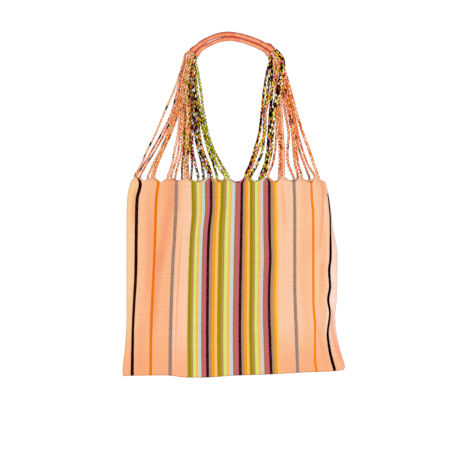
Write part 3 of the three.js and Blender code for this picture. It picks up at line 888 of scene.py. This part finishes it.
DRAPE_FOLDS = [
    *FOLDS,
    (-160, -235, -152, -20, 16, -1.2),
    (-177, -250, -172, 25, 9, 0.7),
    (-122, -190, -118, 30, 14, 0.6),
    (-107, -230, -104, 20, 4, -0.5),
    (-104, -310, -108, -180, 5, -0.6),
    (190, -262, 191, -70, 6, -1.0),
    (171, -300, 186, -215, 7, -1.1),
    (176, -262, 181, -150, 4, 0.9),
    (186, -190, 170, 20, 5, 0.6),
    (163, -120, 170, 30, 5, -0.6),
    (98, -60, 95, 40, 5, -0.5),
    (133, -150, 131, -10, 9, -0.5),
    (97, -320, 94, -215, 7, 0.5),
]


def last_weft(x, dips):
    at = [(FLAT_SIDES[0], SIDE_RIM["left"]), *dips, (FLAT_SIDES[1], SIDE_RIM["right"])]
    return np.interp(x, *np.array(at).T)


def warp_x(flat, y):
    """X of the warps at these flat places, at these Y."""
    names = np.array([FLAT_SIDES[0], *(at for at, _ in WARPS), FLAT_SIDES[1]])
    lines = [along_table(LEFT_SIDE, y), *(along_table(table, y) for _, table in WARPS)]
    lines = np.stack([*lines, along_table(RIGHT_SIDE, y)])
    low = np.clip(np.searchsorted(names, flat) - 1, 0, len(names) - 2)
    share = (flat - names[low]) / (names[low + 1] - names[low])
    every = np.arange(len(flat))
    return mix(lines[low, every], lines[low + 1, every], share)


def flat_of_dips(dips):
    x, y = np.array(dips).T
    guess = x.copy()
    for _ in range(8):
        guess = guess + x - warp_x(guess, y)
    return guess


def cloth_columns():
    """Flat places of the mesh's columns: one at each front dip, and closer ones at the seams."""
    left, right = FLAT_SIDES
    *close, last = SEAM_STEPS
    stops = [left + last, *flat_of_dips(FRONT_DIPS), right - last]
    columns = [left + step for step in close]
    for low, high in zip(stops, stops[1:]):
        count = max(2, round((high - low) / COLUMN))
        columns += list(np.linspace(low, high, count, endpoint=False))
    return np.array(columns + [right - step for step in reversed(SEAM_STEPS)])


def ripples(x, y):
    """Slight unevenness of cloth that has been folded away and laid out again."""
    waves = (
        np.sin(x / 17.0 + 1.1 * np.sin(y / 61.0)) * np.sin(y / 83.0 + 0.7)
        + 0.7 * np.sin(x / 9.0 + 1.6 * np.sin(y / 47.0 + 2.0) + 0.5)
        + 0.5 * np.sin(y / 29.0 + x / 71.0)
    )
    return RIPPLE_HEIGHT * waves


def round_edge(distance):
    share = np.clip(distance / SEAM_ROUND, 0, 1)
    return np.sqrt(1 - (1 - share) ** 2)


def cloth_height(x, y, front, inside=FAR):
    """Height of a layer's outer face; `inside` is how far in from a seam or the fold it is."""
    middle = SEAM_HEIGHT / 2
    rounding = round_edge(inside)
    if not front:
        return middle * (1 - rounding)
    top = front_height(x, y, DRAPE_FOLDS) + ripples(x, y) * np.clip(inside / RIPPLE_START, 0, 1)
    return middle + (top - middle) * rounding


def flat_place(across, along, front):
    """Places on the flat cloth, on which the back layer lies past the fold."""
    along = along if front else -2 * POUCH_DEPTH - along
    return np.stack([across, along], axis=1) * MM


def pouch():
    columns = cloth_columns()
    rows = round((RIM_LEVEL + POUCH_DEPTH) / ROW)
    levels = np.concatenate([FOLD_LEVELS[:-1], np.linspace(FOLD_LEVELS[-1], 1, rows)])
    shape = bmesh.new()
    for front in (True, False):
        dips = FRONT_DIPS if front else BACK_DIPS
        tips = FRONT_TIPS if front else BACK_TIPS

        def main_place(column, row):
            flat_x = columns[column]
            x = flat_x
            for _ in range(3):
                fold = along_table(BOTTOM, x)
                y = mix(fold, last_weft(x, dips), levels[row])
                x = warp_x(flat_x, y)
            inside = np.minimum(x - along_table(LEFT_SIDE, y), along_table(RIGHT_SIDE, y) - x)
            inside = np.clip(np.minimum(inside, y - fold), 0, None)
            return np.stack([x, y, cloth_height(x, y, front, inside)], axis=1)

        def main_flat(column, row):
            return flat_place(columns[column], mix(-POUCH_DEPTH, RIM_LEVEL, levels[row]), front)

        def main_edge(column, row):
            return np.full((len(column), 2), FAR)

        last = len(levels) - 1
        add_grid(
            shape, len(columns) - 1, last, main_place, turned=not front,
            flat=main_flat, edge=main_edge,
        )
        every = np.arange(len(columns))
        rim = main_place(every, np.full(len(columns), last))
        nearest = [int(np.argmin(np.abs(rim[:, 0] - x))) for x, _ in dips]
        bounds = [0, *nearest, len(columns) - 1]
        for (tip_x, half, tip_y), low, high in zip(tips, bounds, bounds[1:]):
            gather_tip(shape, rim, columns, low, high, (tip_x, half, tip_y), front)
    bmesh.ops.remove_doubles(shape, verts=shape.verts, dist=1e-6)
    for edge in shape.edges:
        edge.smooth = not edge.is_boundary
    return shape


FLAP_ROWS = 9
FLAP_STEP = 1.6  # from one of these rows to the next on the flat cloth
FLAP_RISE = 1.15
GATHER_CURVE = 1.2  # how hollow the mouth's edge is between two tips
SIDE_CURVE = 1.3  # the same at the two seams
TIP_LIFT = 0.5
PLEAT = 0.28  # height of the pleats, of which there are PLEATS on each side of a tip
PLEATS = 3


def gather_tip(shape, rim, columns, low, high, tip, front):
    """The free warps above the last weft, from one dip to the next, drawn together into a tip."""
    tip_x, half, tip_y = tip
    base = rim[low : high + 1]
    spread = base[:, 0] - tip_x
    reach = np.where(spread < 0, tip_x - base[0, 0], base[-1, 0] - tip_x)
    share = np.abs(spread) / reach
    at_seam = ((low == 0) & (spread < 0)) | ((high == len(columns) - 1) & (spread > 0))
    curve = np.where(at_seam, SIDE_CURVE, GATHER_CURVE)

    def gathered(column, row):
        risen = (row / FLAP_ROWS) ** FLAP_RISE
        return risen, half + (reach[column] - half) * (1 - risen) ** curve[column]

    def place(column, row):
        risen, width = gathered(column, row)
        x = tip_x + np.sign(spread[column]) * share[column] * width
        y = mix(base[column, 1], tip_y, risen)
        z = cloth_height(x, y, front) if front else base[column, 2]
        pleats = PLEAT * np.cos(share[column] * 2 * PLEATS * math.pi) * ease(risen * 2)
        z = z + pleats + (TIP_LIFT * ease(risen) if front else PLEAT * ease(risen * 2))
        z = mix(base[column, 2], z, ease(risen * 3)) if front else z
        z = np.where(row == 0, base[column, 2], z)
        return np.stack([x, y, z], axis=1)

    def flat(column, row):
        return flat_place(columns[low + column], RIM_LEVEL + row * FLAP_STEP, front)

    def edge(column, row):
        inward = np.where(at_seam[column], FAR, (1 - share[column]) * gathered(column, row)[1])
        return np.stack([inward, inward], axis=1) * MM

    add_grid(shape, high - low, FLAP_ROWS, place, turned=not front, flat=flat, edge=edge)


SAND = colour(250, 200, 150)
FIELD = colour(251, 191, 148)
WARM_FIELD = colour(251, 184, 138)
DEEP_FIELD = colour(248, 172, 128)
PALE_FIELD = colour(252, 202, 166)
# PINK_FIELD also serves as a painted highlight by the right seam and beside creases.
PINK_FIELD = colour(255, 218, 202)
FOLD_FIELD = colour(250, 172, 124)
# Painted shade along the mouth's edge and at the bottom fold: the colour it turns the cloth to, how much and
# how far in.
EDGE_SHADE_TINT = colour(226, 132, 96)
MOUTH_SHADE, MOUTH_SHADE_REACH = 0.3, (0.3, 1.6)
FOLD_SHADE, FOLD_SHADE_REACH = 0.45, (0.6, 2.6)
FOLD_SHARE = 0.8
FOLD_REACH = (20, 90)  # between these distances, the FOLD_SHARE of FOLD_FIELD fades away
# The colours across the field are partly dye and partly painted light: a painted highlight where the cloth
# turns at the left seam, painted shade over the soft fold about X -150 and a painted highlight by the right
# seam.
FIELD_SHADES = [  # flat place and shade, from seam to seam
    (-204, SAND), (-192, SAND), (-177, FIELD), (-165, WARM_FIELD), (-124, WARM_FIELD), (-114, FIELD),
    (-102, PALE_FIELD), (-88, PALE_FIELD),
    (84, PALE_FIELD), (122, PALE_FIELD), (138, FIELD), (152, PALE_FIELD), (170, FIELD),
    (178, PALE_FIELD), (187, PINK_FIELD), (197, PINK_FIELD),
]
# colour of the painted shade in the creases
PAINTED_CREASE_SHADE = colour(244, 156, 112)
# Soft creases along which the cloth's colour is turned to a painted shade: X and Y of both ends, half width
# and strength.
SHADED_CREASES = [
    (-146, -150, -124, 30, 15, 0.75), (-153, -270, -140, -50, 13, 0.65),
    (-160, -210, -161, 30, 13, 0.5), (-125, -25, -124, 75, 20, 0.7), (-194, -50, -192, 42, 6, 0.5),
    (-110, -345, -102, 0, 3.5, 0.6), (160, -110, 174, 48, 4, 0.55), (176, 0, 174, 62, 7, 0.7),
    (166, -175, 170, -100, 9, 0.35), (172, -300, 152, -215, 4, 0.5), (197, -330, 186, -190, 7, 0.7),
    (-175, -330, -172, -200, 14, 0.3), (98, -60, 90, 55, 7, 0.35),
]
# Soft creases with a painted highlight in PINK_FIELD, in the same columns.
HIGHLIT_CREASES = [
    (188, -215, 190, -50, 9, 0.9), (177, -265, 178, -195, 3, 0.8), (170, -60, 176, 30, 3, 0.6),
    (-111, -330, -109, -130, 3, 0.5), (-199, -230, -198, 20, 5, 0.2),
]
# Flat place of the middle, width, the Y where it leaves the front, share of weft dots and colour.
SIDE_STRIPES = [
    (-187, 6.1, FAR, 0.02, colour(40, 4, 6)),
    (-152, 5.3, FAR, 0.05, colour(238, 118, 2)),
    (-117, 6.2, FAR, 0.34, colour(150, 124, 114)),
    (115.5, 6.1, FAR, 0.34, colour(152, 128, 120)),
    (151, 4.8, FAR, 0.05, colour(252, 134, 2)),
    (182, 4.8, 20, 0.01, colour(12, 2, 2)),
]
# The striped band: the width and colour of each stripe of one repeat.
BAND_START, BAND_COUNT = -86.2, 3
BAND = [
    (6, colour(158, 140, 0)), (4.6, colour(186, 146, 84)), (5.5, colour(220, 228, 122)),
    (5, colour(246, 190, 100)), (5.5, colour(198, 214, 218)), (4.8, colour(184, 112, 76)),
    (5, colour(200, 98, 118)), (5.2, colour(50, 4, 10)), (5, colour(172, 146, 112)),
    (5.2, colour(254, 156, 32)), (4.8, colour(248, 196, 104)),
]
BAND_DOTS = 0.05  # share of weft dots in the band
PALE_BLUE_STRIPE = 4
LILAC = colour(210, 204, 214)
WEFT_DOT = colour(240, 178, 142)  # where a weft shows between the warps
WARPS_PER_METRE = 1080
PICKS_PER_METRE = 430
STRIPE_WANDER = 0.6  # how unevenly a stripe's edges run


def field_colour(flat, across, from_fold):
    """The plain field, with painted shade and painted highlights along its soft creases."""
    left, right = FLAT_SIDES
    stops = [((at - left) / (right - left), shade) for at, shade in FIELD_SHADES]
    field = ramp((across - left * MM) / ((right - left) * MM), stops, "EASE")
    near_fold = fade(from_fold, FOLD_SHARE, 0, FOLD_REACH)
    field = blend("MIX", near_fold, field, FOLD_FIELD)
    clouds = remap(stretched_noise(flat, 22, 5), 0, 0.4, 0.56, 0.75)
    field = blend("MIX", clouds, field, DEEP_FIELD)
    # painted shade in the creases, then painted highlights beside them
    for shade, creases in ((PAINTED_CREASE_SHADE, SHADED_CREASES), (PINK_FIELD, HIGHLIT_CREASES)):
        for *ends, half, strength in creases:
            sizes = [size * MM for size in (*ends, half)]
            field = blend("MIX", use_group(CREASE, flat, *sizes, strength)[0], field, shade)
    return field


def with_side_stripes(field, across, along, wefts):
    for middle, width, top, dots, shade in SIDE_STRIPES:
        found = across.maths("COMPARE", middle * MM, width / 2 * MM) * (along < top * MM)
        field = blend("MIX", found, field, blend("MIX", wefts * dots, shade, WEFT_DOT))
    return field


def with_band(field, across, wefts):
    """The field with the striped band over its middle."""
    repeat = sum(width for width, _ in BAND)
    starts = [sum(width for width, _ in BAND[:i]) / repeat for i in range(len(BAND))]
    repeats = (across - BAND_START * MM) / (repeat * MM)
    within = repeats.maths("FRACT")
    band = ramp(within, [(start, shade) for start, (_, shade) in zip(starts, BAND)])
    low, high = starts[PALE_BLUE_STRIPE : PALE_BLUE_STRIPE + 2]
    pale = within.maths("COMPARE", (low + high) / 2, (high - low) / 2)
    band = blend("MIX", pale * (repeats > BAND_COUNT - 1), band, LILAC)
    band = blend("MIX", wefts * BAND_DOTS, band, WEFT_DOT)
    return blend("MIX", (repeats > 0) * (repeats < BAND_COUNT), field, band)


def thread_shade(flat, height, thread):
    """The unevenness of the warps, painted shade in the gaps between them, the picks and the fibres."""
    threads = thread * 0.05 + 0.98
    streaks = remap(stretched_noise(flat, 150, 5), 0.975, 1.025)
    # painted shade in the gaps between the warps
    gaps = height * 0.14 + 0.93
    picks = remap(stretched_noise(flat, 7, 330), 0.9, 1.1)
    specks = remap(stretched_noise(flat, 380, 380, detail=1), 0.88, 1.12)
    return threads * streaks * gaps * picks * specks


def cloth_material():
    made, tree, shader = new_material("striped cotton cloth", roughness=0.95)
    flat = own_layout(tree, "flat")
    height, thread = use_group(WEAVE, flat, WARPS_PER_METRE, PICKS_PER_METRE)
    across, along, _ = parts(flat)
    across += (stretched_noise(flat, 600, 45) - 0.5) * (STRIPE_WANDER * MM)
    from_fold = abs(along + POUCH_DEPTH * MM)
    wefts = remap(stretched_noise(flat, 260, 400, detail=0), 0, 1, 0.5, 0.72)
    dyed = field_colour(flat, across, from_fold)
    dyed = with_side_stripes(dyed, across, along, wefts)
    dyed = with_band(dyed, across, wefts)
    dyed = blend("MULTIPLY", 1.0, dyed, thread_shade(flat, height, thread))
    # painted shade along the mouth's edge and at the bottom fold
    shaded_mouth = fade(parts(own_layout(tree, "edge"))[0], MOUTH_SHADE, 0, MOUTH_SHADE_REACH)
    shaded_fold = fade(from_fold, FOLD_SHADE, 0, FOLD_SHADE_REACH)
    painted_shade = shaded_mouth.maths("MAXIMUM", shaded_fold)
    put(shader.inputs["Base Color"], blend("MULTIPLY", painted_shade, dyed, EDGE_SHADE_TINT))
    relief(shader, height, 0.00035, 0.8)
    return made


pouch_cloth = finished("pouch_cloth", pouch(), cloth_material(), "pouch")
wall = pouch_cloth.modifiers.new("cloth", "SOLIDIFY")
wall.thickness = CLOTH_LOOK * MM
wall.offset = -1

# ---- floor, light and background -----------------------------------------------------------------
FLOOR_HALF = 3.0
FLOOR_DROP = 0.0004
WORLD_LIGHT = 0.42
LAMP_PLACE = (0.3, -0.9, 8.5)
LAMP_SIZE = 3
LAMP_POWER = 486
FLOOR_GREY = (0.24, 0.24, 0.24, 1)
FLOOR_GLOW = 0.81
WHITE = (1, 1, 1, 1)


def seen(tree):
    """1 for what the camera sees, directly, in a reflection or through glass."""
    rays = tree.nodes.new("ShaderNodeLightPath").outputs
    directly, mirrored, through = (
        Value(rays[f"Is {way} Ray"]) for way in ("Camera", "Glossy", "Transmission")
    )
    return directly.maths("MAXIMUM", mirrored).maths("MAXIMUM", through)


def pale_floor():
    shape = bmesh.new()
    bmesh.ops.create_grid(shape, x_segments=1, y_segments=1, size=FLOOR_HALF)
    bmesh.ops.translate(shape, verts=shape.verts, vec=(0, 0, -FLOOR_DROP))
    made, tree, shader = new_material("pale floor", roughness=0.9)
    shader.inputs["Base Color"].default_value = FLOOR_GREY
    shader.inputs["Emission Color"].default_value = WHITE
    put(shader.inputs["Emission Strength"], seen(tree) * FLOOR_GLOW)
    placed("floor", shape, made)


def studio_light():
    world = bpy.data.worlds.new("studio")
    bpy.context.scene.world = world
    world.use_nodes = True
    tree = world.node_tree
    back = tree.nodes["Background"]
    back.inputs["Color"].default_value = WHITE
    put(back.inputs["Strength"], remap(seen(tree), WORLD_LIGHT, 1.0))
    lamp = bpy.data.lights.new("softbox", "AREA")
    lamp.shape = "DISK"
    lamp.size = LAMP_SIZE
    lamp.energy = LAMP_POWER
    softbox = linked("softbox", lamp)
    softbox.location = LAMP_PLACE
    softbox.rotation_euler = Vector(LAMP_PLACE).to_track_quat("Z", "Y").to_euler()
    softbox.visible_camera = False


pale_floor()
studio_light()
bpy.context.scene.view_settings.view_transform = "Standard"
